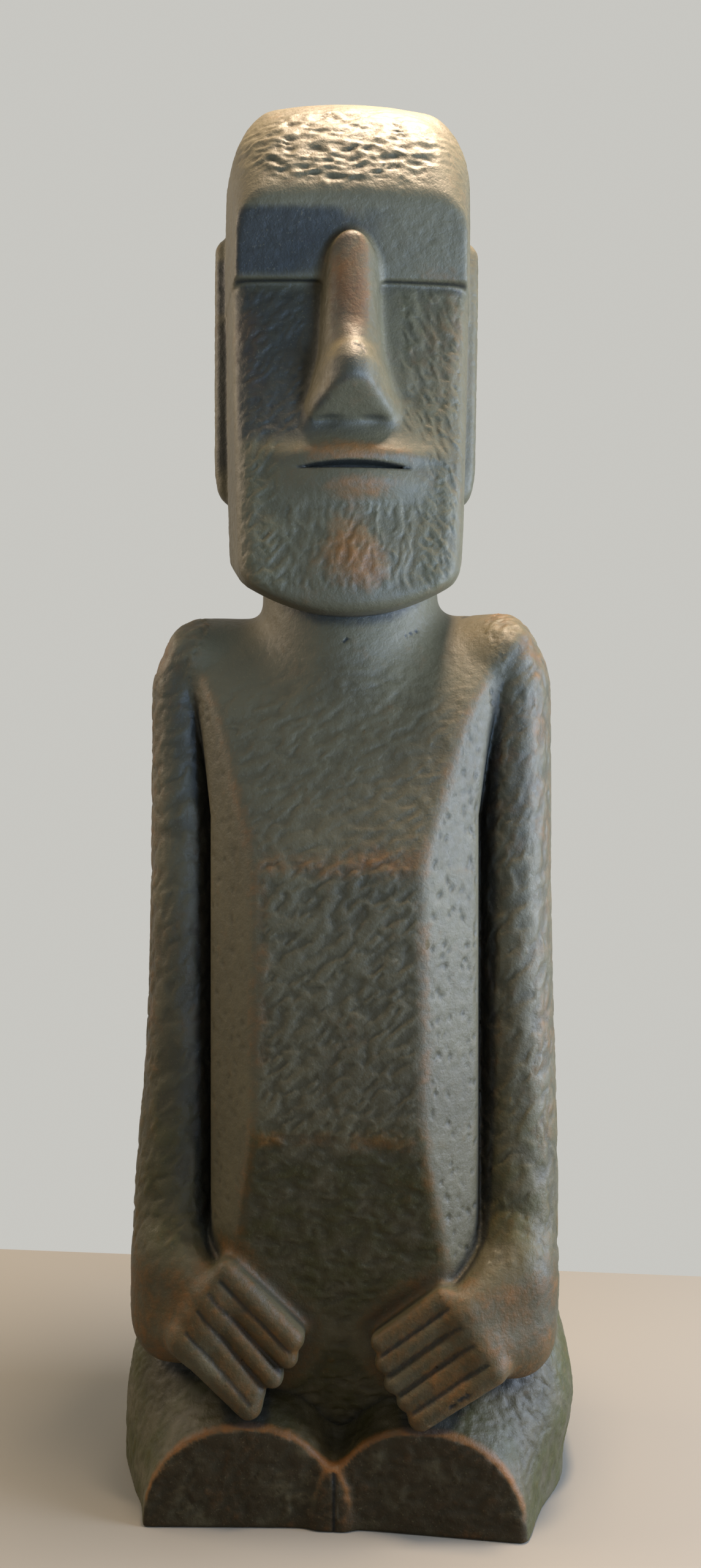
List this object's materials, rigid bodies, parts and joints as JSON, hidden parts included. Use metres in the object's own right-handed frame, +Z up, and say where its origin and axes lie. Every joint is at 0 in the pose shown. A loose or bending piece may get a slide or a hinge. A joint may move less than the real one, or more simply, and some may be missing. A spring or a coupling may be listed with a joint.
{
  "type": "kneeling moai figure statue",
  "caption": "One-piece cast garden statue: long carved head, slim faceted torso, arms at the sides and hands resting on kneeling thighs.",
  "frame": {"origin": "centre of the bounding box on the ground plane, under the figure", "axes": "+Z up, the figure faces -Y, +X is the figure's left"},
  "size_m": [0.333, 0.231, 1],
  "materials": {
    "cast_stone": "dark grey-green cast stone with a worn semi-gloss patina"
  },
  "bodies": {
    "root": {"moai_figure": "cast_stone"}
  },
  "joints": []
}
